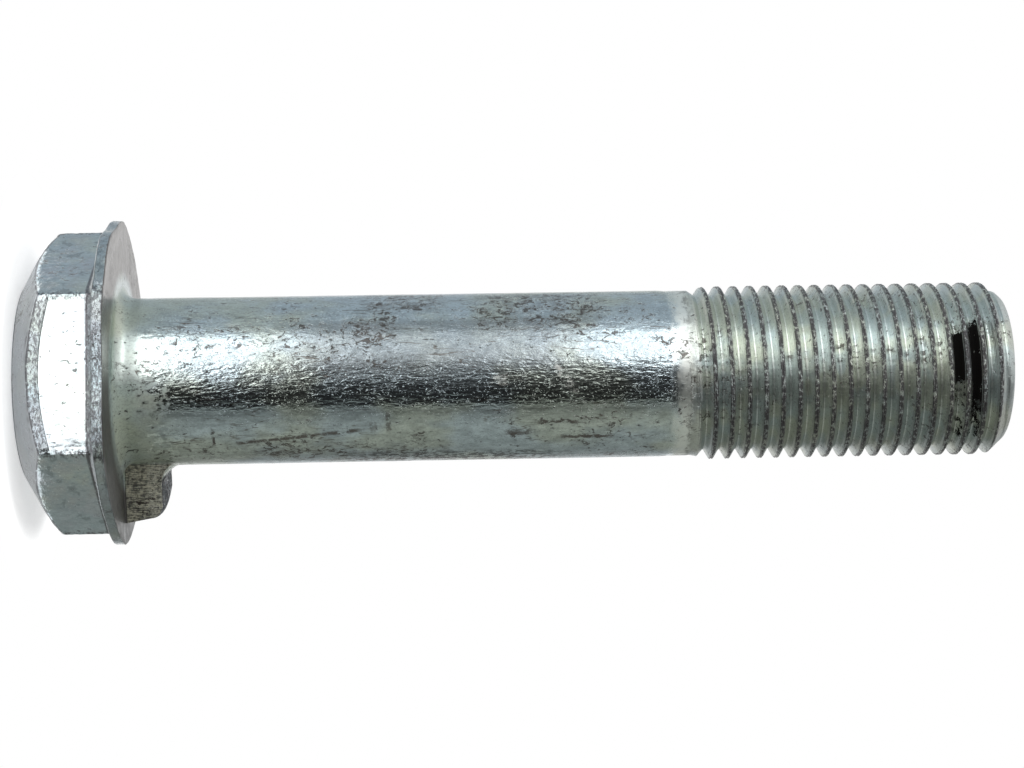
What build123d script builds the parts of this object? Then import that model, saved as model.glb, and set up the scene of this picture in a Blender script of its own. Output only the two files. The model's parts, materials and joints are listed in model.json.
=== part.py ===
from build123d import *
from math import cos, pi, radians, sin, tan
import os

# Wheel bolt, M16 x 1.5, 80 mm under the head, forged in one piece. Millimetres.
# The bolt stands on its head. The origin is the centre of the head's flat top, +Z runs along
# the axis to the thread's tip, a corner of the hexagon points to +X and a flat faces -Y.

# Hexagon head
head_height = 8.5  # flat top to bearing face
across_flats = 24.0
chamfer_angle = 30.0  # of the cone that turns the corners off
chamfer_depth = 3.0  # from a flat in to the flat top's rim
corner_rounding = 0.3

# Collar under the hexagon: nearly round, drawn in a little along each flat
collar_thickness = 1.0
collar_past_flats = 2.1
collar_past_corners = 1.2  # before its corners are rounded
collar_rounding = 6.0
rim_radius = 0.25
valley_radius = 0.7  # between the hexagon and the collar

# Locating nib on the bearing face, which stops the bolt turning in its hub
nib_width = 7.5
nib_height = 3.4
nib_projection = 5.3  # out from the shank, where it meets the bearing face
nib_draft = 0.6  # how much less it projects at its free end
nib_nose_radius = 1.2
nib_root_radius = 1.9
nib_angle = 16.0  # round from the hexagon's corner at +X

# Shank, neck and thread
under_head_length = 80.0
shank_diameter = 15.2
under_head_radius = 1.3
neck_length = 1.8
neck_depth = 0.05  # radially below the shank
thread_diameter = 15.85  # over the crests, which are left to a plain cylinder
thread_length = 29.0
runout_length = 1.5  # where the thread fades into the neck
lead_in_length = 1.6
lead_in_depth = 1.45
tip_radius = 0.4

# Worked out from the sizes above
sides = 6
side_angle = 360 / sides
flat_distance = across_flats / 2
corner_distance = flat_distance / cos(pi / sides)
top_radius = flat_distance - chamfer_depth
collar_top = head_height - collar_thickness
collar_corner = corner_distance + collar_past_corners
collar_middle = flat_distance + collar_past_flats
shank_radius = shank_diameter / 2
neck_radius = shank_radius - neck_depth
thread_radius = thread_diameter / 2
end_radius = thread_radius - lead_in_depth
tip = head_height + under_head_length
thread_start = tip - thread_length
neck_start = thread_start - neck_length
nib_top = head_height + nib_height
nib_reach = shank_radius + nib_projection
nib_root_end = nib_top + nib_root_radius


def around(radius, angle):
    """Point at a radius and an angle in degrees about the bolt's axis."""
    return (radius * cos(radians(angle)), radius * sin(radians(angle)))


# The collar bows out a little along each flat, from corner to corner.
with BuildPart() as collar:
    with BuildSketch(Plane.XY.offset(collar_top)) as outline:
        with BuildLine():
            for side in range(sides):
                start = side * side_angle
                ThreePointArc(
                    around(collar_corner, start),
                    around(collar_middle, start + side_angle / 2),
                    around(collar_corner, start + side_angle),
                )
        make_face()
        fillet(outline.vertices(), collar_rounding)
    extrude(amount=collar_thickness)
    fillet(collar.edges().filter_by(Plane.XY), rim_radius)

# The nib is cut from a turned ring, so that its root follows the shank.
with BuildPart() as nib:
    with BuildSketch(Plane.XZ) as ring_section:
        with BuildLine():
            Polyline(
                (0, nib_root_end),
                (0, collar_top),
                (nib_reach, collar_top),
                (nib_reach, head_height),
                (nib_reach - nib_draft, nib_top),
                (shank_radius + nib_root_radius, nib_top),
            )
            RadiusArc(
                (shank_radius + nib_root_radius, nib_top),
                (shank_radius, nib_root_end),
                nib_root_radius,
            )
            Line((shank_radius, nib_root_end), (0, nib_root_end))
        make_face()
        nose = ring_section.vertices().sort_by_distance((nib_reach, nib_top))[0]
        fillet(nose, nib_nose_radius)
    revolve(axis=Axis.Z)
    with BuildSketch(Plane.XY.rotated((0, 0, nib_angle))):
        with Locations((nib_reach / 2, 0)):
            Rectangle(nib_reach, nib_width)
    extrude(amount=nib_root_end, mode=Mode.INTERSECT)

with BuildPart() as wheel_bolt:
    # Hexagon, with its corners eased and its top turned to a cone
    with BuildSketch():
        RegularPolygon(flat_distance, sides, major_radius=False)
    extrude(amount=head_height)
    fillet(wheel_bolt.edges().filter_by(Axis.Z), corner_rounding)
    cone_reach = collar_corner + collar_thickness
    with BuildSketch(Plane.XZ):
        with BuildLine():
            Polyline(
                (top_radius, 0),
                (cone_reach, (cone_reach - top_radius) * tan(radians(chamfer_angle))),
                (cone_reach, 0),
                close=True,
            )
        make_face()
    revolve(axis=Axis.Z, mode=Mode.SUBTRACT)

    add(collar.part)
    fillet(wheel_bolt.edges(Select.NEW), valley_radius)

    # Shank, neck and thread, turned about the axis
    with BuildSketch(Plane.XZ) as stem_section:
        with BuildLine():
            Polyline(
                (0, collar_top),
                (shank_radius, collar_top),
                (shank_radius, neck_start),
                (neck_radius, neck_start + neck_depth),
                (neck_radius, thread_start),
                (thread_radius, thread_start + runout_length),
                (thread_radius, tip - lead_in_length),
                (end_radius, tip),
                (0, tip),
                close=True,
            )
        make_face()
        lip = stem_section.vertices().sort_by_distance((end_radius, tip))[0]
        fillet(lip, tip_radius)
    revolve(axis=Axis.Z)
    on_bearing_face = wheel_bolt.edges().filter_by_position(Axis.Z, head_height, head_height)
    fillet(on_bearing_face.sort_by(SortBy.LENGTH)[-1], under_head_radius)
    add(nib.part)

wheel_bolt.part.label = "wheel_bolt"

os.makedirs("parts", exist_ok=True)
export_step(wheel_bolt.part, "parts/wheel_bolt.step")
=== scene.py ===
# %% [markdown]
# # A wheel bolt
#
# A wheel bolt is forged from one steel bar: a die strikes the head, presses its collar out and a
# nib under it, the thread is rolled on at the other end, and the whole bolt is plated with zinc.
# So it is one closed mesh here too. Its head and shank start as a line beside the axis, which is
# spun into a round body and then pushed to a hexagon. The thread is a second line, wound up by a
# Screw modifier and bridged to the first. The nib is a third, joined on by a Boolean.

import json
import math

import bpy
import numpy as np
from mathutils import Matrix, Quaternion, Vector, noise


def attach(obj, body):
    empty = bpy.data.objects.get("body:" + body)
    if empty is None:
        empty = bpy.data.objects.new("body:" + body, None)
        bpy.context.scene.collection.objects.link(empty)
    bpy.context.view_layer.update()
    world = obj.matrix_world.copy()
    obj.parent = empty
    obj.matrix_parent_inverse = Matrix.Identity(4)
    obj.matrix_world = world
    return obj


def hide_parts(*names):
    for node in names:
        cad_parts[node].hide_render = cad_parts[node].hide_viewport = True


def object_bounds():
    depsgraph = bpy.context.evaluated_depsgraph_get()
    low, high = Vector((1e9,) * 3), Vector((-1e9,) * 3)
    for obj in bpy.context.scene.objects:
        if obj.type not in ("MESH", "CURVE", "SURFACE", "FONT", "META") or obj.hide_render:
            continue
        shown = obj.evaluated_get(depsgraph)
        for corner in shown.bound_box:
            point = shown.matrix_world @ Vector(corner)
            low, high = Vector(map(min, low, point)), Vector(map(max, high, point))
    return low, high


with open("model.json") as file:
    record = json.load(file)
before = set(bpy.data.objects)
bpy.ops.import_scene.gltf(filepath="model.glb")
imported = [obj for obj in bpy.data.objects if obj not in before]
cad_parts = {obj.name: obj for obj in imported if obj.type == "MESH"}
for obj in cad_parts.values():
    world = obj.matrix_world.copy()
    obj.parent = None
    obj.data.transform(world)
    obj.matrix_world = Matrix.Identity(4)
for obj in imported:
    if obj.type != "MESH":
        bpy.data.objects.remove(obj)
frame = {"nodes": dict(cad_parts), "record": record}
cad_low, cad_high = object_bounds()
mounts = {mount["name"]: mount for mount in frame["record"]["mounts"]}
print("nodes", list(frame["nodes"]), "from", tuple(cad_low), "to", tuple(cad_high))

# %% [markdown]
# ## Sizes
#
# The frame gives the sizes that matter: the bolt stands on its head, and the tip of its thread is
# the highest point. What the frame doesn't hold, such as the pitch and the roundings, is written
# here in millimetres and turned into metres.

# %% Sizes
mm = 0.001
COLUMNS = 180  # of faces round the bolt, so that a column starts at each corner of the hexagon

tip = cad_high.z
corner_reach = cad_high.x
flat_reach = cad_high.y
bearing_height = mounts["bearing_face"]["pos_m"][2]
crest_radius = mounts["thread"]["dims"]["r_mm"] * mm

flat_distance = 12 * mm
blunt_corner = 13.74 * mm  # the hexagon's corners are no further out than this
top_radius = 9 * mm
top_rounding = 0.45 * mm
chamfer_slope = math.tan(math.radians(30))
collar_height = bearing_height - 1.0 * mm
valley_radius = 0.7 * mm
rim_radius = 0.25 * mm
fillet_radius = 1.3 * mm
shank_radius = 7.6 * mm
neck_radius = 7.55 * mm
thread_start = tip - 29 * mm
neck_start = thread_start - 1.8 * mm
pitch = 1.5 * mm
lead_in = 1.6 * mm
end_radius = crest_radius - 1.45 * mm
tip_rounding = 0.12 * mm
neck_gap = 0.25 * mm  # left open between the neck and the thread, and bridged later
print("length under the head", round((tip - bearing_height) / mm, 2), "mm")

# %% [markdown]
# ## The lathe line
#
# One vertex is extruded from point to point to draw half of the section: up the middle of a flat,
# round the rim of the collar, along the bearing face and up the shank. Long stretches are drawn in
# short steps, because the surface is roughened later and needs vertices to move.

# %% Draw and spin
def straight(start, end, steps):
    """Points from start to end, without start itself."""
    start, end = Vector(start), Vector(end)
    return [start.lerp(end, (step + 1) / steps) for step in range(steps)]


def arc(centre, radius, first, last, steps):
    """Points round an arc, in degrees, without its first one."""
    angles = [math.radians(first + (last - first) * (step + 1) / steps) for step in range(steps)]
    return [Vector((centre[0] + radius * math.cos(a), centre[1] + radius * math.sin(a)))
            for a in angles]


def draw(name, points):
    """A new object with one line, drawn beside the axis through points of radius and height."""
    bpy.ops.object.select_all(action="DESELECT")
    first = Vector((points[0][0], 0, points[0][1]))
    bpy.ops.mesh.primitive_plane_add(size=mm, location=first)
    piece = bpy.context.object
    piece.name = name
    bpy.ops.object.transform_apply(location=True, rotation=False, scale=False)
    bpy.ops.object.mode_set(mode="EDIT")
    bpy.ops.mesh.select_mode(type="VERT")
    bpy.ops.mesh.merge(type="CENTER")
    for before, after in zip(points, points[1:]):
        step = (after[0] - before[0], 0, after[1] - before[1])
        bpy.ops.mesh.extrude_region_move(TRANSFORM_OT_translate={"value": step})
    bpy.ops.object.mode_set(mode="OBJECT")
    return piece


def spin_round(piece, steps, degrees=360):
    """The line becomes a surface round the axis."""
    bpy.ops.object.mode_set(mode="EDIT")
    bpy.ops.mesh.select_all(action="SELECT")
    bpy.ops.mesh.spin(steps=steps, angle=math.radians(degrees), center=(0, 0, 0), axis=(0, 0, 1))
    bpy.ops.mesh.select_all(action="SELECT")
    bpy.ops.mesh.remove_doubles(threshold=0.002 * mm)
    bpy.ops.mesh.normals_make_consistent(inside=False)
    bpy.ops.object.mode_set(mode="OBJECT")


flat_top = (flat_distance - top_radius) * chamfer_slope
rounding_start = top_radius - 0.3 * mm
seat_chamfer = 0.06 * mm
neck_slope = 0.6 * mm
seat_start = shank_radius + fillet_radius
line = [Vector((0, 0))]
line += straight(line[-1], (rounding_start, 0), 9)
line += arc((rounding_start, top_rounding), top_rounding, -90, -60, 3)
line += straight(line[-1], (flat_distance, flat_top), 9)
line += straight(line[-1], (flat_distance, collar_height - valley_radius), 18)
line += arc((flat_distance + valley_radius, collar_height - valley_radius), valley_radius, 180, 90, 5)
line += straight(line[-1], (flat_reach - rim_radius, collar_height), 3)
line += arc((flat_reach - rim_radius, collar_height + rim_radius), rim_radius, -90, 0, 3)
line += straight(line[-1], (flat_reach, bearing_height - seat_chamfer), 3)
line += [Vector((flat_reach - seat_chamfer, bearing_height))]
line += straight(line[-1], (seat_start, bearing_height), 14)
line += arc((seat_start, bearing_height + fillet_radius), fillet_radius, -90, -180, 7)
line += straight(line[-1], (shank_radius, neck_start - neck_slope), 142)
line += straight(line[-1], (neck_radius, neck_start), 2)
line += straight(line[-1], (neck_radius, thread_start - neck_gap), 5)

bolt = draw("plated_bolt", line)
spin_round(bolt, COLUMNS)
print("body", len(line), "rings,", len(bolt.data.polygons), "faces")

# %% [markdown]
# ## From round to hexagonal
#
# A lathe can't make flats. Every ring of the head is therefore pushed out from the circle to the
# hexagon, most at the corners. The cone on top stays a true cone: where a ring lies on it, the
# vertex moves out and up the slope together, so the cone meets the flats in the six arcs that show
# how such a head is made. The columns crowd together at the corners, to keep those crisp.

# %% Push the head out
def points_of(piece):
    """The vertices of a piece as an array."""
    co = np.zeros(len(piece.data.vertices) * 3)
    piece.data.vertices.foreach_get("co", co)
    return co.reshape(-1, 3)


def place(piece, co):
    """Puts the vertices of a piece at the rows of an array."""
    piece.data.vertices.foreach_set("co", co.ravel())
    piece.data.update()


def bump(angle, centre, width):
    """1 at an angle round the bolt and 0 further off than width, in degrees."""
    off = np.abs((angle - centre + 180) % 360 - 180) / width
    return np.where(off < 1, 0.5 + 0.5 * np.cos(np.pi * np.minimum(off, 1)), 0)


def hexagon(angle):
    """How far out the flats are, with the corners at 0, 60, 120 degrees and so on."""
    off = np.radians((angle + 30) % 60 - 30)
    crown = 0.1 * mm * (1 - np.abs(off) / np.radians(30)) ** 2
    reach = (flat_distance - crown) / np.cos(np.radians(30) - np.abs(off))
    return np.minimum(reach, blunt_corner)


def collar(angle):
    """How far out the rim of the collar is. The die has squeezed it out unevenly."""
    at_flat = bump(angle, (np.round((angle - 30) / 60) * 60 + 30), 36)
    rim = corner_reach - (corner_reach - flat_reach) * at_flat
    rim -= 0.85 * mm * bump(angle, 270, 30)
    rim -= 0.2 * mm * (bump(angle, 240, 20) + bump(angle, 300, 20))
    rim += 0.7 * mm * bump(angle, 216, 20)
    rim -= 0.6 * mm * bump(angle, 127, 28)
    return rim


co = points_of(bolt)
radius, height = np.hypot(co[:, 0], co[:, 1]), co[:, 2].copy()
angle = np.degrees(np.arctan2(co[:, 1], co[:, 0])) % 360
inside_head = np.clip((bearing_height + fillet_radius - height) / fillet_radius, 0, 1)
crowding = 0.7  # 0 leaves the columns evenly spread, and 1 brings them together at the corners
angle = angle - inside_head * crowding / 6 * np.degrees(np.sin(np.radians(6 * angle)))
flats, rim = hexagon(angle), collar(angle)

out, up = radius.copy(), height.copy()
cone_height = (flats - top_radius) * chamfer_slope
small = 1e-9
on_cone = (height <= flat_top + small) & (radius > rounding_start - 0.01 * mm)
share = np.clip((radius - top_radius) / (flat_distance - top_radius), 0, 1)
out = np.where(on_cone, np.maximum(radius, top_radius + share * (flats - top_radius)), out)
up = np.where(on_cone & (share > 0), (out - top_radius) * chamfer_slope, up)

flat_end = collar_height - valley_radius
on_flat = (height > flat_top) & (height <= flat_end + small) & (radius > flat_distance - small)
share = (height - flat_top) / (flat_end - flat_top)
out = np.where(on_flat, flats, out)
up = np.where(on_flat, cone_height + share * (flat_end - cone_height), up)

on_collar = (height > flat_end + small) & (height < bearing_height - small)
on_collar &= radius > flat_distance - small
share = (radius - flat_distance) / (flat_reach - flat_distance)
out = np.where(on_collar, flats + share * (rim - flats), out)

on_seat = (np.abs(height - bearing_height) < small) & (radius > seat_start)
share = (radius - seat_start) / (flat_reach - seat_start)
out = np.where(on_seat, seat_start + share * (rim - seat_start), out)

turn = np.radians(angle)
place(bolt, np.column_stack([out * np.cos(turn), out * np.sin(turn), up]))
print("rim from", round(rim.min() / mm, 2), "to", round(rim.max() / mm, 2), "mm")

# %% [markdown]
# ## The thread
#
# A thread is one outline, repeated. One pitch of it is drawn, from root to root, and the Screw
# modifier turns it and lifts it by a pitch each turn, which gives a right-hand thread. Rolling
# leaves rounded roots, straight flanks of 60 degrees and a slight furrow along each crest, where
# the steel flowed together from both sides.

# %% Wind the thread
def apply(piece, kind, **settings):
    """Adds a modifier, sets it and applies it."""
    bpy.context.view_layer.objects.active = piece
    modifier = piece.modifiers.new(kind.title(), kind)
    for name, value in settings.items():
        setattr(modifier, name, value)
    bpy.ops.object.modifier_apply(modifier=modifier.name)


half_tooth = [(0.0, -0.08), (0.06, -0.02), (0.11, 0.0), (0.16, -0.05),  # the furrow and the crest
              (0.58, -0.76), (0.66, -0.85), (0.75, -0.88)]  # the flank and the root
tooth = [(-across, down) for across, down in reversed(half_tooth)] + half_tooth[1:]
first_turn = thread_start - 2.45 * pitch  # sets where round the bolt the crests lie
turns = math.ceil((tip - first_turn) / pitch) + 2
thread = draw("thread", [(crest_radius + down * mm, first_turn + across * mm)
                         for across, down in tooth])
apply(thread, "SCREW", axis="Z", steps=COLUMNS, render_steps=COLUMNS, iterations=turns,
      screw_offset=pitch)
apply(thread, "WELD", merge_threshold=0.01 * mm)
print("thread", turns, "turns,", len(thread.data.polygons), "faces")

# %% [markdown]
# The dies of the rolling machine end in a slope, so the first turn rises out of the neck, and the
# bar was chamfered before, so the last turns run out over a cone. Both are made by moving the
# vertices in or out, the crests from a little higher than the roots. The two ends are then cut
# square with Bisect.

# %% Run the thread in and out
def cut_square(piece, level, above):
    """Cuts a piece at a height, and clears what is above the cut or below it."""
    bpy.ops.mesh.select_all(action="SELECT")
    bpy.ops.mesh.bisect(plane_co=(0, 0, level), plane_no=(0, 0, 1), threshold=0.001 * mm,
                        clear_outer=above, clear_inner=not above)


def smooth(share):
    """0 to 1 with soft ends."""
    share = np.clip(share, 0, 1)
    return share * share * (3 - 2 * share)


co = points_of(thread)
radius, height = np.hypot(co[:, 0], co[:, 1]), co[:, 2]
crests_rise = smooth((height - thread_start - 0.4 * mm) / (1.7 * mm))
roots_sink = smooth((height - thread_start) / (1.1 * mm))
run_in = np.where(radius < neck_radius, roots_sink, crests_rise)
out = neck_radius + (radius - neck_radius) * run_in
lead_slope = (crest_radius - end_radius) / lead_in
lead_cone = crest_radius + 0.1 * mm - (height - (tip - lead_in)) * lead_slope
out = np.minimum(out, np.maximum(lead_cone, 0.6 * crest_radius))
place(thread, co * np.column_stack([out / radius, out / radius, np.ones(len(co))]))

bpy.ops.object.mode_set(mode="EDIT")
cut_square(thread, tip - tip_rounding, above=True)
cut_square(thread, thread_start, above=False)
bpy.ops.object.mode_set(mode="OBJECT")
print("thread", len(thread.data.polygons), "faces after the cuts")

# %% [markdown]
# The rim at the tip is closed as by hand: it is extruded and drawn in a little at a time, first
# round the edge and then over the end, which is cropped from the bar and stays slightly domed. The
# open ring at the other end is bridged to the shank.

# %% Close the tip and join the shank
def open_rings(piece, *levels):
    """In edit mode, selects the open edges of a piece that lie at these heights."""
    bpy.ops.mesh.select_mode(type="EDGE")
    bpy.ops.mesh.select_all(action="DESELECT")
    bpy.ops.mesh.select_non_manifold(use_wire=False, use_multi_face=False, use_verts=False)
    bpy.ops.object.mode_set(mode="OBJECT")
    mesh = piece.data
    kept = 0
    for edge in mesh.edges:
        if edge.select:
            ends = [mesh.vertices[index].co.z for index in edge.vertices]
            edge.select = any(max(abs(end - level) for end in ends) < 0.005 * mm
                              for level in levels)
            kept += edge.select
    for vertex in mesh.vertices:
        vertex.select = False
    bpy.ops.object.mode_set(mode="EDIT")
    return kept


bpy.ops.object.select_all(action="DESELECT")
thread.select_set(True)
bolt.select_set(True)
bpy.context.view_layer.objects.active = bolt
bpy.ops.object.join()
bpy.ops.object.mode_set(mode="EDIT")
print("ring at the tip", open_rings(bolt, tip - tip_rounding), "edges")
width = 1.0
steps_in = [(0.985, 0.07), (0.955, 0.03), (0.86, 0.01), (0.7, 0.005), (0.5, 0.003), (0.28, 0.002),
            (0.1, 0)]
for next_width, rise in steps_in:
    bpy.ops.mesh.extrude_region_move(TRANSFORM_OT_translate={"value": (0, 0, rise * mm)})
    narrower = next_width / width
    bpy.ops.transform.resize(value=(narrower, narrower, 1), center_override=(0, 0, tip))
    width = next_width
bpy.ops.mesh.merge(type="CENTER")
print("rings in the neck", open_rings(bolt, thread_start, thread_start - neck_gap), "edges")
bpy.ops.mesh.bridge_edge_loops()
bpy.ops.mesh.select_all(action="SELECT")
bpy.ops.mesh.normals_make_consistent(inside=False)
bpy.ops.object.mode_set(mode="OBJECT")
print("shank and thread", len(bolt.data.polygons), "faces")

# %% [markdown]
# ## The nib
#
# The nib stops the bolt from turning in its flange. The die sheared its two sides flat and pressed
# its nose round, so its section is drawn, spun through a part turn about the bolt's own axis, and
# trimmed by two parallel cuts. A Boolean joins it to the collar and the shank.

# %% Form the nib and join it
nib_turn = math.radians(16)
nib_swing = math.radians(38)  # of the spin on each side, wide enough for both cuts
nib_half_width = 3.75 * mm
nib_top = bearing_height + 3.4 * mm
nib_foot = 12.9 * mm
nib_reach = 12.42 * mm
nose, root = 1.2 * mm, 1.9 * mm
sunk = bearing_height - 0.5 * mm
inside_shank = shank_radius - 0.7 * mm

section = [Vector((inside_shank, sunk)), Vector((nib_foot, sunk))]
section += straight(section[-1], (nib_reach, nib_top - nose), 12)
section += arc((nib_reach - nose, nib_top - nose), nose, 0, 84, 7)
section += straight(section[-1], (shank_radius + root, nib_top - 0.02 * mm), 6)
section += arc((shank_radius + root - 0.06 * mm, nib_top + root - 0.03 * mm), root, -90, -178, 7)
section += [Vector((inside_shank, nib_top + root + 0.2 * mm))]
nib = draw("nib", section)
bpy.ops.object.mode_set(mode="EDIT")
bpy.ops.mesh.select_all(action="SELECT")
bpy.ops.mesh.edge_face_add()
bpy.ops.transform.rotate(value=-nib_swing - nib_turn, orient_axis="Z", center_override=(0, 0, 0))
bpy.ops.mesh.spin(steps=44, angle=2 * nib_swing, center=(0, 0, 0), axis=(0, 0, 1))
bpy.ops.mesh.select_all(action="SELECT")
bpy.ops.mesh.normals_make_consistent(inside=False)
across = Vector((-math.sin(nib_turn), math.cos(nib_turn), 0))
for way in (1, -1):
    bpy.ops.mesh.select_all(action="SELECT")
    bpy.ops.mesh.bisect(plane_co=way * nib_half_width * across, plane_no=way * across,
                        use_fill=True, clear_outer=True)
bpy.ops.object.mode_set(mode="OBJECT")
apply(bolt, "BOOLEAN", operation="UNION", solver="EXACT", object=nib)
bpy.data.objects.remove(nib)
print("with the nib", len(bolt.data.polygons), "faces")

# %% [markdown]
# ## Forged, not machined
#
# Steel that was struck hot isn't smooth. Each vertex is moved along its normal by a few sizes of
# noise: broad waves on the head, a ragged rim and ragged edges where the flash was torn off, and
# long shallow drawing marks along the shank. The noise is a fixed function of place, so it comes
# out the same each time.

# %% Roughen the surface
def waves(co, size, stretch=1.0, seed=0.0):
    """Smooth noise from -1 to 1, with features of a size. Stretch draws them out along the bolt."""
    scaled = co / size * (1, 1, 1 / stretch) + seed
    return np.array([noise.noise(row) for row in scaled.tolist()])


def near(value, middle, width):
    """1 at a value and 0 further off than width, softly."""
    return smooth(1 - np.abs(value - middle) / width)


mesh = bolt.data
co = points_of(bolt)
normals = np.zeros(len(co) * 3)
mesh.vertex_normals.foreach_get("vector", normals)
normals = normals.reshape(-1, 3)
radius, height = np.hypot(co[:, 0], co[:, 1]), co[:, 2]
angle = np.degrees(np.arctan2(co[:, 1], co[:, 0])) % 360

head = smooth((bearing_height - height) / (0.4 * mm))
corner = near((angle + 30) % 60, 30, 2.2) * head * (radius > 12.2 * mm)
rim_part = near(height, bearing_height - 0.5 * mm, 0.75 * mm) * (radius > 12.6 * mm)
cone_at = (np.minimum(radius, hexagon(angle)) - top_radius) * chamfer_slope
top_arc = near(height, cone_at, 0.3 * mm) * head * (radius > 11.7 * mm)
shank = smooth((height - bearing_height - 1.5 * mm) / (2 * mm)) * (radius < 8 * mm)
shank *= smooth((neck_start - height) / (0.8 * mm))
crest = (height > thread_start + 1 * mm) * near(radius, crest_radius, 0.14 * mm)
drawing_marks = 0.014 * mm * waves(co, 0.5 * mm, 4, seed=11) + 0.02 * mm * waves(co, 2.6 * mm, 3, seed=12)

move = head * (0.035 * mm * waves(co, 3.2 * mm) + 0.012 * mm * waves(co, 0.8 * mm, seed=7))
move -= corner * 0.10 * mm * np.abs(waves(co, 0.75 * mm, seed=3))
move -= top_arc * 0.09 * mm * np.abs(waves(co, 0.7 * mm, seed=5))
move -= rim_part * 0.16 * mm * np.abs(waves(co, 1.5 * mm, seed=9))
move -= rim_part * 0.10 * mm * np.abs(waves(co, 0.5 * mm, seed=2))
move += shank * drawing_marks
move -= crest * 0.05 * mm * np.abs(waves(co, 0.45 * mm, seed=13))
co += normals * move[:, None]
co[:, 0] = np.clip(co[:, 0], cad_low.x, cad_high.x)
co[:, 1] = np.clip(co[:, 1], cad_low.y, cad_high.y)
co[:, 2] = np.clip(co[:, 2], 0, tip)
place(bolt, co)
bpy.ops.object.select_all(action="DESELECT")
bolt.select_set(True)
bpy.context.view_layer.objects.active = bolt
bpy.ops.object.shade_smooth_by_angle(angle=math.radians(50))
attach(bolt, "root")
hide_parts("wheel_bolt")
mesh.calc_loop_triangles()
print("triangles", len(mesh.loop_triangles), "moved by", round(np.abs(move).max() / mm, 3), "mm at most")

# %% [markdown]
# ## Maths for materials
#
# A material is a graph of nodes, and sums in it are tedious to wire. One small class wraps a
# socket, so that an ordinary sum in Python adds the Math nodes for it.

# %% A socket that can be reckoned with
class Socket:
    def __init__(self, tree, socket=None):
        self.tree, self.socket = tree, socket

    def node(self, kind, settings=None, inputs=None, output=0):
        """Adds a node, sets it, links its inputs and gives back one of its outputs."""
        made = self.tree.nodes.new("ShaderNode" + kind)
        for name, value in (settings or {}).items():
            if name == "stops":
                stops = made.color_ramp.elements
                stops.remove(stops[1])
                stops[0].position, stops[0].color = value[0]
                for position, colour in value[1:]:
                    stops.new(position).color = colour
            else:
                setattr(made, name, value)
        for name, value in (inputs or {}).items():
            if isinstance(value, Socket):
                self.tree.links.new(value.socket, made.inputs[name])
            else:
                made.inputs[name].default_value = value
        return Socket(self.tree, made.outputs[output])

    def maths(self, operation, *values):
        return self.node("Math", {"operation": operation}, dict(enumerate(values)))

    def __add__(self, other):
        return self.maths("ADD", self, other)

    def __sub__(self, other):
        return self.maths("SUBTRACT", self, other)

    def __rsub__(self, other):
        return self.maths("SUBTRACT", other, self)

    def __mul__(self, other):
        return self.maths("MULTIPLY", self, other)

    def __truediv__(self, other):
        return self.maths("DIVIDE", self, other)

    def __pow__(self, other):
        return self.maths("POWER", self, other)

    __radd__, __rmul__ = __add__, __mul__

    def from_to(self, low, high):
        """0 below low, 1 above high and soft between; it falls instead where low is the higher."""
        return self.node("MapRange", {"interpolation_type": "SMOOTHSTEP"},
                         {"Value": self, "From Min": low, "From Max": high})

    def blend(self, first, second):
        """The first colour where this is 0 and the second where it is 1."""
        return self.node("Mix", {"data_type": "RGBA"}, {0: self, 6: first, 7: second}, output=2)


# %% [markdown]
# ## Zinc
#
# The bolt is one piece, so one material covers it. Its graph has three kinds of part: masks that
# are 1 where something is, such as the neck or a corner of the hexagon; colours that are laid over
# each other through the masks; and a relief, which the Bump node turns into small tilts.
#
# All of it is read from Object coordinates, so that every mark stays on the steel. Places are in
# millimetres here. Heights are counted from the seat, which is the bearing face, or from the neck,
# the foot of the thread, the foot of the rim or the tip. The way round is an angle in degrees, with
# 0 at the flat that faces -Y.

# %% Start the material
zinc = bpy.data.materials.new("zinc_plate")
zinc.use_nodes = True
zinc.node_tree.nodes.clear()
start = Socket(zinc.node_tree)
place_on = start.node("TexCoord", output=3)
x, y, z = (start.node("SeparateXYZ", inputs={0: place_on}, output=axis) / mm for axis in range(3))
from_axis = (x * x + y * y) ** 0.5
azimuth = start.maths("ARCTAN2", x, y * -1.0) * (180 / math.pi)


def grain(size, stretch=1.0, detail=2.0, rough=0.5, seed=0.0, twist=0.0):
    """Noise with grains of a size in millimetres, drawn out along the bolt by stretch."""
    scale = 1 / (size * mm)
    where = start.node("Mapping", inputs={"Vector": place_on, "Location": (seed, seed, seed),
                                          "Scale": (scale, scale, scale / stretch)})
    return start.node("TexNoise", inputs={"Vector": where, "Scale": 1.0, "Detail": detail,
                                          "Roughness": rough, "Distortion": twist})


wavy_z = z + (grain(0.6, 1.0, 4, 0.7, seed=85) - 0.5) * 0.7
wavy_azimuth = azimuth + (grain(0.6, 1.0, 4, 0.7, seed=87) - 0.5) * 9.0


def spot(height, length, turn, width):
    """1 about a place at a height and an angle, with a ragged edge, and 0 away from it."""
    along = start.maths("ABSOLUTE", wavy_z - height).from_to(length * 0.5, length * 0.25)
    return along * start.maths("ABSOLUTE", wavy_azimuth - turn).from_to(width * 0.5, width * 0.25)


def capped(value):
    """A sum of masks, held down to 1."""
    return start.maths("MINIMUM", value, 1.0)


print("places read by", len(zinc.node_tree.nodes), "nodes")

# %% [markdown]
# ### Where the shank, the neck and the thread are
#
# Most masks are a soft step up and a soft step down. Some of them use a height with noise in it, so
# that the struck part of the shank and the pale neck begin raggedly. The seam is the furrow along
# the thread's crest, and the helix is a phase that grows by one turn with each pitch, so that fine
# lines can follow the thread round.

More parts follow.
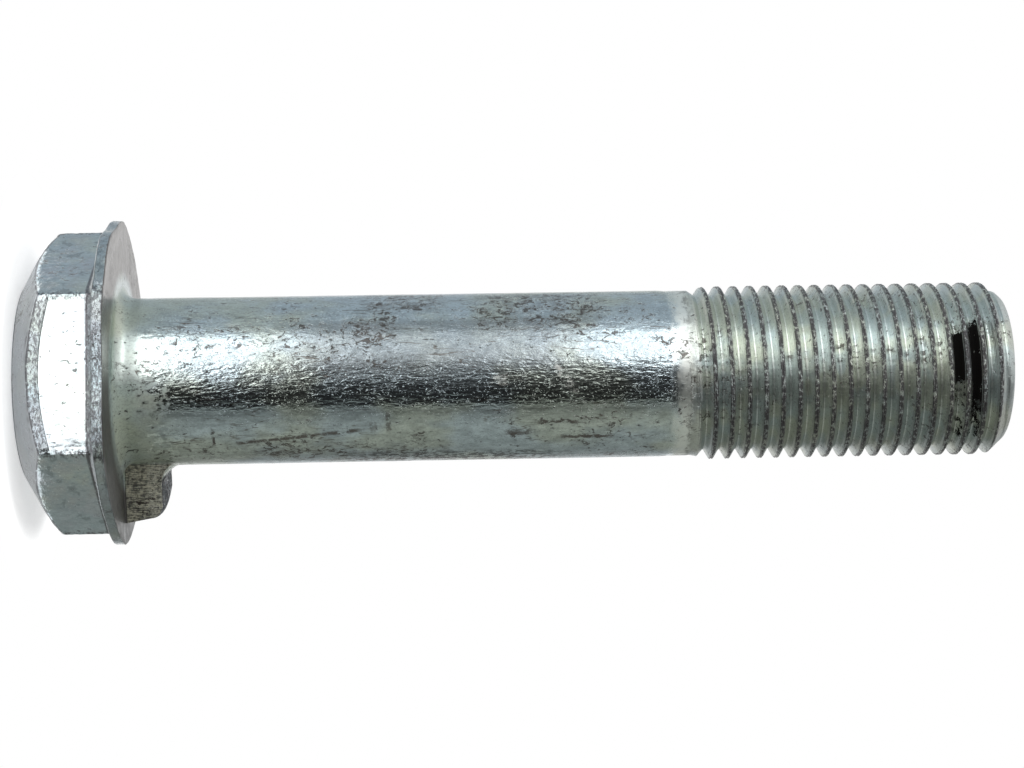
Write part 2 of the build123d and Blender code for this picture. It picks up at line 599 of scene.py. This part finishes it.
# %% Masks along the stem
seat, neck, thread_foot = (level / mm for level in (bearing_height, neck_start, thread_start))
on_head = z.from_to(seat + 0.1, seat - 0.1)
stem = 1 - on_head
ragged = z + (grain(1.3, 1.6, 4, 0.6, seed=71) - 0.5) * 7
torn = z + (grain(0.45, 1.5, 4, 0.7, seed=79) - 0.5) * 14
on_shank = ragged.from_to(seat + 2, seat + 5) * z.from_to(neck + 0.2, neck - 0.2)
neck_edge = z + (grain(1.2, 0.6, 4, 0.7, seed=81) - 0.5) * 2.2
on_neck = z.from_to(neck - 0.3, neck + 0.1) * neck_edge.from_to(neck - 0.3, neck + 1.1)
on_neck = on_neck * z.from_to(thread_foot + 0.5, thread_foot - 0.1)
on_thread = z.from_to(thread_foot - 0.5, thread_foot + 0.5)
near_head = stem * z.from_to(seat + 8.5, seat + 0.5)
fillet = stem * z.from_to(seat + 2.7, seat + 1.5)

spared = on_shank * azimuth.from_to(21, 27) * azimuth.from_to(112, 104)
struck = 0.35 + azimuth.from_to(-15, -3) * azimuth.from_to(32, 24) * 0.65
struck = struck * on_shank * (1 - spared)
upper = on_shank * azimuth.from_to(-2, -12)
# Painted shade: the middle of the shank is darkened on the side that mirrors the softboxes.
dimmed_reflection = on_shank * azimuth.from_to(-42, -34) * azimuth.from_to(6, -6)
dimmed_reflection = dimmed_reflection * ragged.from_to(20, 28) * ragged.from_to(52, 46)
matt = stem * torn.from_to(seat + 5, seat + 3) * azimuth.from_to(-4, 8)
worn = capped(spot(31, 6, -30, 30) + spot(34, 9, -62, 40) + spot(46, 14, -52, 56)
              + spot(23, 4, 60, 22) + spot(28, 26, 62, 30) * 0.5)

below_crest = crest_radius / mm - from_axis
seam = on_thread * below_crest.from_to(0.2, 0.1)
groove = on_thread * below_crest.from_to(0.15, 0.3)
helix = z * (2 * math.pi * mm / pitch) - azimuth * (math.pi / 180)
lines = (start.maths("SINE", helix * 6) + start.maths("SINE", helix * 11 + 1)
         + start.maths("SINE", helix * 17 + 2) * 0.7)
print("stem masks up to", len(zinc.node_tree.nodes), "nodes")

# %% [markdown]
# ### Where the parts of the head are
#
# The cone is found by its own slope: a point lies on it where its height is no more than the
# cone's height at that radius. The strips are the torn edges along the cone and the collar, where
# the flash was trimmed, and the outline is a line of painted shade beside them. Ping-pong folds
# the angle, so that one test finds all six corners.

# %% Masks on the head and the nib
rim_foot = collar_height / mm
above_cone = z - (from_axis - top_radius / mm) * chamfer_slope
cone_part = on_head * above_cone.from_to(0.14, 0.05)
front = start.maths("ABSOLUTE", azimuth).from_to(30, 27.5)
side_part = on_head * (1 - front) * (1 - cone_part)
corners = start.maths("PINGPONG", azimuth - 30, 30.0).from_to(2.4, 0.8) * on_head * (1 - cone_part)
collar_strip = on_head * z.from_to(rim_foot - 0.6, rim_foot - 0.2)
cone_strip = on_head * (1 - cone_part) * above_cone.from_to(1.15, 0.85) * front
strip = start.maths("MAXIMUM", collar_strip, cone_strip)
plain = 1 - on_head * front * (1 - strip)
# Painted shade: a dark line along the arcs of the cone, and one under the rim of the collar.
outline = on_head * above_cone.from_to(0.02, 0.07) * above_cone.from_to(0.24, 0.16)
rim_line = z.from_to(rim_foot - 0.75, rim_foot - 0.6) * z.from_to(rim_foot - 0.3, rim_foot - 0.45)
outline = outline + on_head * rim_line
# Painted shade in the valley between the flats and the collar.
valley_shade = on_head * z.from_to(rim_foot - 0.8, rim_foot - 0.4) * z.from_to(rim_foot + 0.25, rim_foot)

along_nib = x * math.cos(nib_turn) + y * math.sin(nib_turn)
across_nib = start.maths("ABSOLUTE", y * math.cos(nib_turn) - x * math.sin(nib_turn))
half = nib_half_width / mm
on_nib = across_nib.from_to(half + 0.2, half + 0.11) * z.from_to(seat + 0.1, seat + 0.2)
sheared = on_nib * across_nib.from_to(half - 0.15, half - 0.07) * along_nib.from_to(6.6, 6.9)
sheared = sheared * z.from_to(seat + 5.3, seat + 4.9)
pressed = on_nib * along_nib.from_to(7.8, 8.5) * z.from_to(seat + 5.5, seat + 5)
nib_part = start.maths("MAXIMUM", sheared, pressed)
nib_nose = nib_part * (1 - sheared)
bearing = z.from_to(seat - 0.1, seat - 0.03) * z.from_to(seat + 0.5, seat + 0.1)
bearing = bearing * from_axis.from_to(9, 10.4) * (1 - nib_part)
print("all masks up to", len(zinc.node_tree.nodes), "nodes")

# %% [markdown]
# ### The plate
#
# Bright zinc is a bluish silver that drifts to green and lilac. The cone is darker, partly its own
# lilac-grey tone and partly painted shade of the shadowed floor that it mirrors, and the bearing
# face is dark brown. The thread has a faint yellow cast in places, and the nib shows bare sheared steel,
# with fine lines along the cut.

# %% Colour the plate
def laid(colour, *coats):
    """The colour with coats laid over it in turn. Each is a mask and a red, a green and a blue."""
    for amount, tone in coats:
        colour = amount.blend(colour, tone + (1,))
    return colour


combed = grain(0.085, 9, 3, 0.6, seed=17)
gouged = grain(0.45, 0.8, 4, 0.7, seed=18)
blotch = grain(1.8, 0.8, 4, 0.6, seed=77)
cut_steel = (combed * 0.55 + gouged * 0.45).from_to(0.40, 0.57)
cut_steel = cut_steel.blend((0.17, 0.165, 0.15, 1), (0.80, 0.78, 0.66, 1))
nib_steel = gouged.from_to(0.46, 0.60).blend((0.05, 0.055, 0.06, 1), (0.26, 0.29, 0.31, 1))
# Painted shade: a dark ragged band where the first turn of the thread rises out of the neck.
thread_foot_shade = neck_edge.from_to(neck + 1.2, neck + 1.8) * z.from_to(neck + 2.4, neck + 2.1)
thread_foot_shade = thread_foot_shade * grain(0.6, 0.8, 4, 0.7, seed=75).from_to(0.42, 0.56)

tint = grain(5, 1.5, 3, seed=2).from_to(0.42, 0.62)
colour = (tint * 0.7).blend((0.635, 0.74, 0.785, 1), (0.69, 0.745, 0.635, 1))
colour = laid(
    colour,
    (on_head * grain(4, seed=5).from_to(0.35, 0.6) * 0.6, (0.58, 0.61, 0.66)),
    # Painted shade on the cone, besides its own lilac-grey tone: it stands for the shadowed floor that
    # the cone mirrors.
    (cone_part * 0.85, (0.32, 0.34, 0.355)),
    (near_head * 0.5, (0.60, 0.64, 0.51)),
    # Painted shade, dimming the shank's bright band in its middle.
    (dimmed_reflection * 0.75, (0.36, 0.40, 0.42)),
    (side_part * blotch.from_to(0.40, 0.62) * 0.6, (0.52, 0.63, 0.67)),
    (side_part * blotch.from_to(0.58, 0.64) * 0.35, (0.14, 0.16, 0.16)),
    (on_neck * 0.9, (0.95, 0.98, 0.92)),
    # Painted shade at the foot of the thread.
    (thread_foot_shade * 0.75, (0.16, 0.16, 0.15)),
    (on_thread * 0.8, (0.68, 0.74, 0.715)),
    (on_thread * grain(3, 0.8, 2, seed=91).from_to(0.42, 0.58) * 0.45, (0.79, 0.80, 0.66)),
)
colour = (sheared * 0.9).blend(colour, cut_steel)
colour = (nib_nose * 0.96).blend(colour, nib_steel)
colour = laid(colour, (bearing * 0.95, (0.175, 0.16, 0.15)))
print("plate up to", len(zinc.node_tree.nodes), "nodes")

# %% [markdown]
# ### Wear
#
# The plate is mottled, and its marks have several sizes: contour lines of a stretched noise make
# hair scratches, clusters hold brown stains, and a few long drags and pale smears have places of
# their own. The torn strips of the head get dark pits, and so do the seams of the thread. Painted
# shade is laid here too: along the outline of the cone and the rim, in the valley by the collar, on part
# of the collar and on one side of the thread.

# %% Wear the plate and paint shade
mottle = grain(0.7, 2, 4, 0.65, seed=31).from_to(0.3, 0.7)
mottle_and_thread_shade = (1 - mottle) * (0.06 + on_shank * 0.14 + spared * 0.10)
# Painted shade: one side of the thread, from about 5 to 40 degrees round, is darkened. The line above is
# a random mottle.
mottle_and_thread_shade = mottle_and_thread_shade + on_thread * azimuth.from_to(5, 40) * 0.14

scratch = start.maths("ABSOLUTE", grain(0.9, 9, 2, 0.5, seed=51) - 0.5).from_to(0.014, 0.004)
scratch = scratch * grain(4, 1.6, 2, seed=53).from_to(0.54, 0.60) * on_shank
faded = worn * grain(0.7, 1.6, 4, 0.7, seed=83).from_to(0.38, 0.62)
clusters = grain(5, 1.4, 2, seed=33).from_to(0.50, 0.58) + worn
stains = (grain(0.5, 1.6, 5, 0.75, seed=35, twist=1) + worn * 0.05).from_to(0.56, 0.60)
stains = capped(stains * clusters) * plain
fine = grain(0.15, 1.4, 3, 0.65, seed=61).from_to(0.45, 0.68) * (0.12 + stem * 0.12 - on_neck * 0.20)
under = spot(38, 26, 76, 30) + spot(36, 60, 84, 24) * 0.3 + side_part * 0.12
under = under * grain(0.42, 1.5, 4, 0.7, seed=73).from_to(0.46, 0.54)

long_drag = azimuth * 0.7 + wavy_azimuth * 0.3 + (z - 18.8) * 0.95 - 51.5
long_drag = start.maths("ABSOLUTE", long_drag).from_to(2.3, 0.6)
long_drag = long_drag * z.from_to(18.6, 19.5) * z.from_to(30.3, 29.5)
long_drag = long_drag * grain(0.9, 2, seed=63).from_to(0.30, 0.45)
drag = (long_drag + spot(32.5, 0.55, 35, 20) * 0.7 + spot(31.2, 0.8, 38, 10) * 0.5
        + spot(17.0, 0.35, 46, 20) + spot(47.5, 5, 36, 4) + spot(50, 6, 50, 4)
        + spot(44, 3, 45, 6) * 0.8)
drag = capped(drag) * grain(0.6, 1.0, 4, 0.7, seed=65).from_to(0.36, 0.5)
slant = start.maths("ABSOLUTE", azimuth - (z - 47.5) * 9).from_to(7, 2)
smear = spot(42.4, 1.8, 6, 11) * 0.8 + slant * spot(48.4, 2.8, 2, 40)
smear = capped(smear * grain(0.35, 1.0, 4, 0.7, seed=67).from_to(0.40, 0.60))

scuffs = grain(0.44, 0.5, 4, 0.7, seed=37)
# Dark scuffs on the strips and corners, with the outline's painted shade.
strip_scuffs_and_shade = (strip * (0.3 + front * 0.7) * scuffs.from_to(0.44, 0.56) * 0.85
              + corners * scuffs.from_to(0.5, 0.56) + outline * scuffs.from_to(0.38, 0.46))
flecks = seam * grain(0.40, 0.6, 4, 0.75, seed=15).from_to(0.42, 0.50)
pits = grain(0.35, 1.8, 3, 0.6, seed=8, twist=0.5).from_to(0.64, 0.70)
colour = laid(
    colour,
    (mottle_and_thread_shade, (0, 0, 0)),
    (scratch * 0.7, (0.16, 0.14, 0.12)),
    (faded * 0.5, (0.30, 0.32, 0.32)),
    (stains * 0.85, (0.095, 0.08, 0.07)),
    (fine, (0.10, 0.10, 0.10)),
    (under * 0.85, (0.07, 0.075, 0.075)),
    (drag * 0.9, (0.13, 0.11, 0.10)),
    (smear * 0.6, (0.80, 0.79, 0.74)),
    # Painted shade in the valley by the collar, lighter on the front flat.
    (valley_shade * (0.9 - front * 0.3), (0.18, 0.195, 0.20)),
    # Painted shade on the collar past the front flat, from about 30 degrees round onwards.
    (collar_strip * azimuth.from_to(27, 36) * 0.5, (0.24, 0.27, 0.28)),
    (capped(strip_scuffs_and_shade) * 0.9, (0.16, 0.16, 0.17)),
    (flecks * 0.95, (0.13, 0.125, 0.13)),
    (pits * 0.8, (0.09, 0.085, 0.08)),
)
print("wear up to", len(zinc.node_tree.nodes), "nodes")

# %% [markdown]
# ### Dirt in the thread
#
# Black grease has dried in two of the last grooves. It lies on the flanks and in the roots, never
# on the crests. It hardly shines, so its colour is close to black and its roughness is high.

# %% Dirt the last grooves
below_tip = tip / mm - z
patch = below_tip.from_to(6.3, 5.7) * below_tip.from_to(2.5, 2.8)
first_groove = below_tip.from_to(3.9, 4.1)
cover = first_groove * azimuth.from_to(-24, -12) * azimuth.from_to(18, 6) * 0.24
cover = cover + (1 - first_groove) * azimuth.from_to(-40, -24) * azimuth.from_to(56, 20) * 0.18
cover = cover + azimuth.from_to(-36, -26) * azimuth.from_to(70, 50) * 0.07
dirt = (grain(1.1, 1.0, 6, 0.85, seed=21) + cover).from_to(0.61, 0.62) * groove * patch
colour = laid(colour, (dirt, (0.006, 0.005, 0.004)))
print("dirt up to", len(zinc.node_tree.nodes), "nodes")

# %% [markdown]
# ### Relief and gloss
#
# What makes steel look forged is how it breaks up a reflection. Short strokes along the shank
# are deepest where it was struck and faint where it was spared, and they turn the dark side of the
# room into a band of black and silver flecks. The neck, the fillet and the cone were machined or
# rubbed, so they are smooth but less glossy.

# %% Raise the relief and finish the material
strokes = grain(0.29, 3.2, 2.8, 0.55, seed=1, twist=0.5)
speckle = grain(0.12, 1.3, 2, 0.6, seed=4)
waviness = grain(0.9, 1.5, 2, 0.5, seed=6)
glints = grain(0.17, 1.2, 1, 0.5, seed=41).from_to(0.66, 0.74)
rolled = lines * on_thread * below_tip.from_to(0.3, 0.9) * (1 - seam)
relief = (strokes * (0.08 - on_head * 0.06 + struck * 0.52)
          + speckle * (0.03 + struck * 0.03 + seam * 0.9)
          + scuffs * (strip * (0.3 + front * 0.9) + nib_part * 0.8)
          + rolled * 0.035 + waviness * 0.30 + blotch * side_part * 0.5
          + glints * on_shank * 0.18 + combed * nib_part * 1.2
          - pits * 0.3 - stains * 0.12 - drag * 0.2)
roughness = (0.09 + grain(1.5, 1.5, 2, seed=9) * 0.10 + spared * 0.14 + cone_part * 0.14
             + on_thread * 0.20 + matt * 0.50 + smear * 0.25 + fillet * 0.22 + upper * 0.10
             + on_neck * 0.26 + nib_part * 0.1 + dirt * 0.6)

normal = start.node("Bump", inputs={"Strength": 1.0, "Distance": 0.11 * mm, "Height": relief})
shader = start.node("BsdfPrincipled", inputs={"Base Color": colour, "Metallic": 1 - dirt * 0.3,
                                              "Roughness": roughness, "Normal": normal})
end = zinc.node_tree.nodes.new("ShaderNodeOutputMaterial")
zinc.node_tree.links.new(shader.socket, end.inputs["Surface"])
mesh.materials.clear()
mesh.materials.append(zinc)
print("zinc", len(zinc.node_tree.nodes), "nodes")

# %% [markdown]
# ## The studio
#
# Polished metal shows the room more than its own colour, so the room is most of the picture. The
# floor is a small disc of paper under the head. It glows at its rim, so that it melts into the
# white round it, and only about half as much under the bolt, which paints a shadow there besides the real
# one that the lamps cast.

# %% Lay the floor
floor_radius = 19 * mm
floor_gap = 0.02 * mm  # under the head, so that the two faces don't coincide
bpy.ops.object.select_all(action="DESELECT")
bpy.ops.mesh.primitive_circle_add(vertices=96, radius=floor_radius, fill_type="NGON",
                                  location=(0, 0, -floor_gap))
floor = bpy.context.object
floor.name = "floor"
paper = bpy.data.materials.new("pale_paper")
paper.use_nodes = True
paper.node_tree.nodes.clear()
start = Socket(paper.node_tree)
from_middle = start.node("VectorMath", {"operation": "LENGTH"},
                         {0: start.node("TexCoord", output=3)}, output=1)
# Painted shadow: the glow drops to about half under the bolt, on top of the real shadow on the diffuse
# paper.
glow_with_painted_shadow = 0.5 + from_middle.from_to(12.5 * mm, 16 * mm) * 0.45
glow = start.node("Emission", inputs={"Color": glow_with_painted_shadow.blend((0, 0, 0, 1), (1, 1, 1, 1))})
diffuse = start.node("BsdfDiffuse", inputs={"Color": (0.9, 0.9, 0.9, 1)})
both = start.node("AddShader", inputs={0: diffuse, 1: glow})
end = paper.node_tree.nodes.new("ShaderNodeOutputMaterial")
paper.node_tree.links.new(both.socket, end.inputs["Surface"])
floor.data.materials.append(paper)
print("floor", round(floor.dimensions.x / mm), "mm across")

# %% [markdown]
# The room is painted on the World by direction. A ring of greys at eye level goes round the bolt:
# light on the left, dark just right of the middle, where the shank gets its black band, and grey
# again behind that. Two more rings serve the directions that point steeply down and up. Where the
# camera looks past the bolt it sees plain white, and a reflection that glances off the bolt's edge
# straight to the back shows the same white.

# %% Paint the room
world = bpy.data.worlds.new("studio")
world.use_nodes = True
world.node_tree.nodes.clear()
start = Socket(world.node_tree)
direction = start.node("TexCoord", output=0)
wx, wy, wz = (start.node("SeparateXYZ", inputs={0: direction}, output=axis) for axis in range(3))
turn_on = start.maths("ARCTAN2", wx, wy * -1.0) / (2 * math.pi) + 0.5
cool, warm, neutral = (0.90, 1.0, 1.08), (0.97, 1.02, 0.95), (1, 1, 1)


def ring(*stops):
    """A colour by the way round. Each stop has degrees from -Y, a grey and maybe a tone."""
    ramp = []
    for degrees, grey, *tone in stops:
        red, green, blue = tone[0] if tone else neutral
        ramp.append((degrees / 360 + 0.5, (grey * red, grey * green, grey * blue, 1)))
    return start.node("ValToRGB", {"stops": ramp}, {0: turn_on})


level = ring((-180, 0.5, cool), (-101, 0.46, cool), (-62, 0.48, cool), (-45, 0.50, cool),
             (-31, 0.52), (-22, 0.42), (-14, 0.30), (-6, 0.20), (3, 0.10), (11, 0.05), (19, 0.02),
             (42, 0.02), (48, 0.12, warm), (56, 0.30, warm), (72, 0.42, warm), (100, 0.34, warm),
             (130, 0.28, warm), (180, 0.4))
downward = ring((-180, 0.8), (-124, 0.6), (-60, 0.4), (-10, 0.3), (30, 0.05), (110, 0.08), (180, 0.8))
upward = ring((-180, 0.7), (-90, 0.7), (-55, 1.2), (-20, 1.2), (5, 0.5), (40, 0.25), (110, 0.22),
              (180, 0.7))
steep_from, steep_to = 0.35, 0.65
room = (wz * -1).from_to(steep_from, steep_to).blend(level, downward)
room = wz.from_to(steep_from, steep_to).blend(room, upward)

seen, glossy, through = (start.node("LightPath", output=kind) for kind in (0, 3, 6))
straight_back = start.maths("MAXIMUM", glossy, through) * wy.from_to(0.90, 0.93)
shown = start.maths("MAXIMUM", seen, straight_back)
lit = start.node("Background", inputs={"Color": room, "Strength": 1.0})
white = start.node("Background", inputs={"Color": (1, 1, 1, 1), "Strength": 1.0})
mixed = start.node("MixShader", inputs={0: shown, 1: lit, 2: white})
end = world.node_tree.nodes.new("ShaderNodeOutputWorld")
world.node_tree.links.new(mixed.socket, end.inputs["Surface"])
bpy.context.scene.world = world
print("world", len(world.node_tree.nodes), "nodes")

# %% [markdown]
# Two wide softboxes stand at the left. The front flat of the hexagon and one stripe along each end
# of the shank mirror them, so those come out nearly white. Their strength is given as the
# brightness of their face, and the energy of each follows from its area.

# %% Hang the softboxes
def softbox(name, turn, height, width, length, glare, roll=0.0, distance=300 * mm):
    """A soft lamp that faces the bolt from a place round it."""
    turn = math.radians(turn)
    position = Vector((distance * math.sin(turn), -distance * math.cos(turn), height))
    bpy.ops.object.light_add(type="AREA", location=position)
    lamp = bpy.context.object
    lamp.name = name
    lamp.data.shape, lamp.data.size, lamp.data.size_y = "RECTANGLE", width, length
    lamp.data.energy = glare * math.pi * width * length
    aim = Vector((0, 0, height)) - position
    lamp.rotation_mode = "QUATERNION"
    lamp.rotation_quaternion = (aim.to_track_quat("-Z", "Y")
                                @ Quaternion((0, 0, 1), math.radians(roll)))
    lamp.visible_camera = False


softbox("thread_end_softbox", turn=-36, height=150 * mm, width=270 * mm, length=164 * mm, glare=2.1)
softbox("head_end_softbox", turn=-28, height=-89 * mm, width=366 * mm, length=170 * mm, glare=2.1,
        roll=-9)

# %% [markdown]
# The camera stands about 20 cm in front, level with the middle of the shank and rolled by a
# quarter turn, so the standing bolt lies across the picture with its head at the left.

# %% Place the camera
camera_data = bpy.data.cameras.new("camera")
camera = bpy.data.objects.new("camera", camera_data)
bpy.context.scene.collection.objects.link(camera)
camera_data.lens = 75.36
camera_data.sensor_width = 36
camera_data.clip_start = 10 * mm
camera.location = Vector((13.06, -195.76, 36.95)) * mm
camera.rotation_euler = [math.radians(value) for value in (-25.856, -92.200, 119.473)]
bpy.context.scene.camera = camera
bpy.context.scene.view_settings.view_transform = "Standard"
print("camera at", [round(value / mm) for value in camera.location], "mm")
